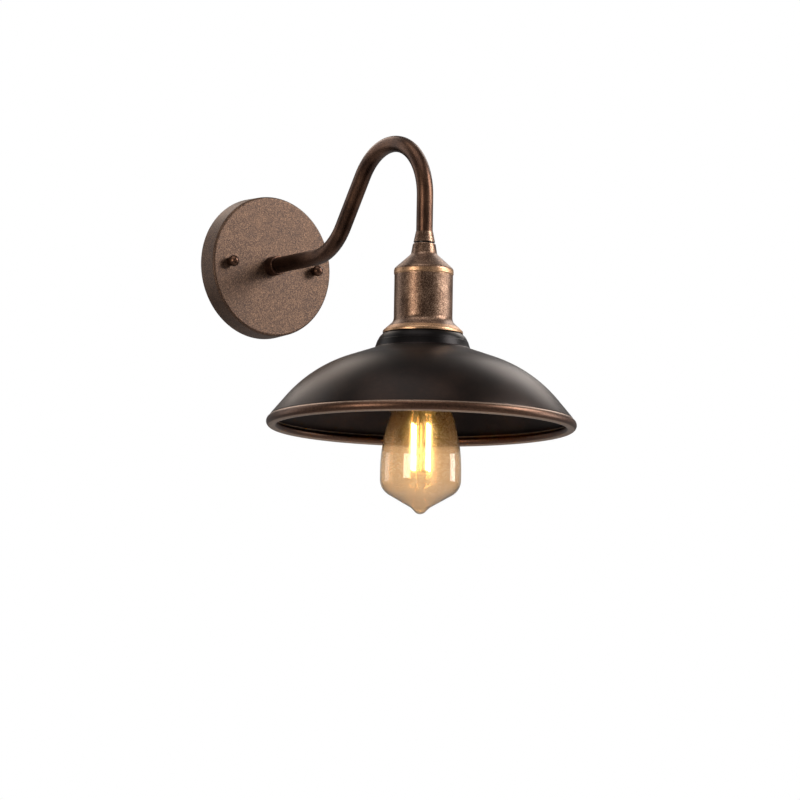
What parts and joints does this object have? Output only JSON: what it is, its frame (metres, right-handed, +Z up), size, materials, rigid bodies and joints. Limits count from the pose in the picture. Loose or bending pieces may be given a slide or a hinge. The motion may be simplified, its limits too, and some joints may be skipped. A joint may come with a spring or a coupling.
{
  "type": "gooseneck wall sconce",
  "caption": "Wall light with a round canopy, a gooseneck arm, a spun dome shade and a long pear-shaped amber bulb in a screw socket.",
  "frame": {"origin": "centre of the mounting bracket's back face, on the wall plane", "axes": "+Y into the wall, +X along the wall to the right as seen from the room, +Z up"},
  "size_m": [0.25, 0.365, 0.3146],
  "materials": {
    "amber_glass": "amber, clear",
    "arm_bronze": "satin dark bronze",
    "black_glass": "black glass",
    "black_metal": "satin black",
    "black_moulding": "moulded",
    "brass": "plain",
    "canopy_bronze": "speckled bronze enamel",
    "core_ceramic": "unglazed",
    "cup_bronze": "antique bronze, mottled",
    "lead_black": "insulation",
    "lead_green": "insulation",
    "lead_white": "insulation",
    "light_rod": "coated light rod",
    "nickel_shell": "nickel plated",
    "nut_bronze": "bronze",
    "phosphor_bronze": "spring sheet",
    "rod_wire": "drawn wire",
    "shade_bronze": "satin dark brown",
    "stem_glass": "clear",
    "white_moulding": "moulded",
    "zinc_steel": "zinc plated"
  },
  "bodies": {
    "fixture": {"mounting_bracket": "zinc_steel", "canopy_studs": "zinc_steel", "stud_lock_nuts": "zinc_steel", "ball_cap_nuts": "nut_bronze", "canopy": "canopy_bronze", "foot_pipe": "zinc_steel", "lock_washer": "zinc_steel", "foot_pipe_nut": "zinc_steel", "arm_collar": "canopy_bronze", "arm_tube": "arm_bronze", "arm_ferrule": "cup_bronze", "ferrule_spacer": "black_metal", "head_pipe": "zinc_steel", "cup_nut": "zinc_steel", "socket_cup": "cup_bronze", "shade": "shade_bronze", "lampholder_cap": "black_moulding", "lampholder_skirt": "black_moulding", "ceramic_core": "core_ceramic", "screw_shell": "nickel_shell", "spring_contact": "phosphor_bronze", "holder_terminals": "brass", "holder_terminal_screws": "brass", "shade_ring": "black_moulding", "terminal_block": "white_moulding", "terminal_barrels": "brass", "clamp_screws": "zinc_steel", "block_screws": "zinc_steel", "ground_screw": "zinc_steel", "ground_lug": "zinc_steel", "live_lead": "lead_black", "neutral_lead": "lead_white", "earth_lead": "lead_green", "flange_ring": "black_moulding"},
    "bulb_foot": {"bulb_insulator": "black_glass", "bulb_contact": "brass"},
    "bulb": {"bulb_glass": "amber_glass", "bulb_cap": "nickel_shell", "bulb_stem": "stem_glass", "light_rods": "light_rod", "rod_wires": "rod_wire"}
  },
  "joints": [
    {"name": "bulb_travel", "type": "slide", "parent": "fixture", "child": "bulb_foot", "axis": [0, 0, -1], "range_m": [0, 0.0165]},
    {"name": "bulb_turn", "type": "hinge", "parent": "bulb_foot", "child": "bulb", "pos_m": [0, -0.24, -0.12], "axis": [0, 0, -1], "range_deg": [0, 1620]}
  ],
  "couplings": [
    {"joint": "bulb_travel", "follows": "bulb_turn", "m_per_rad": 0.00057757}
  ]
}
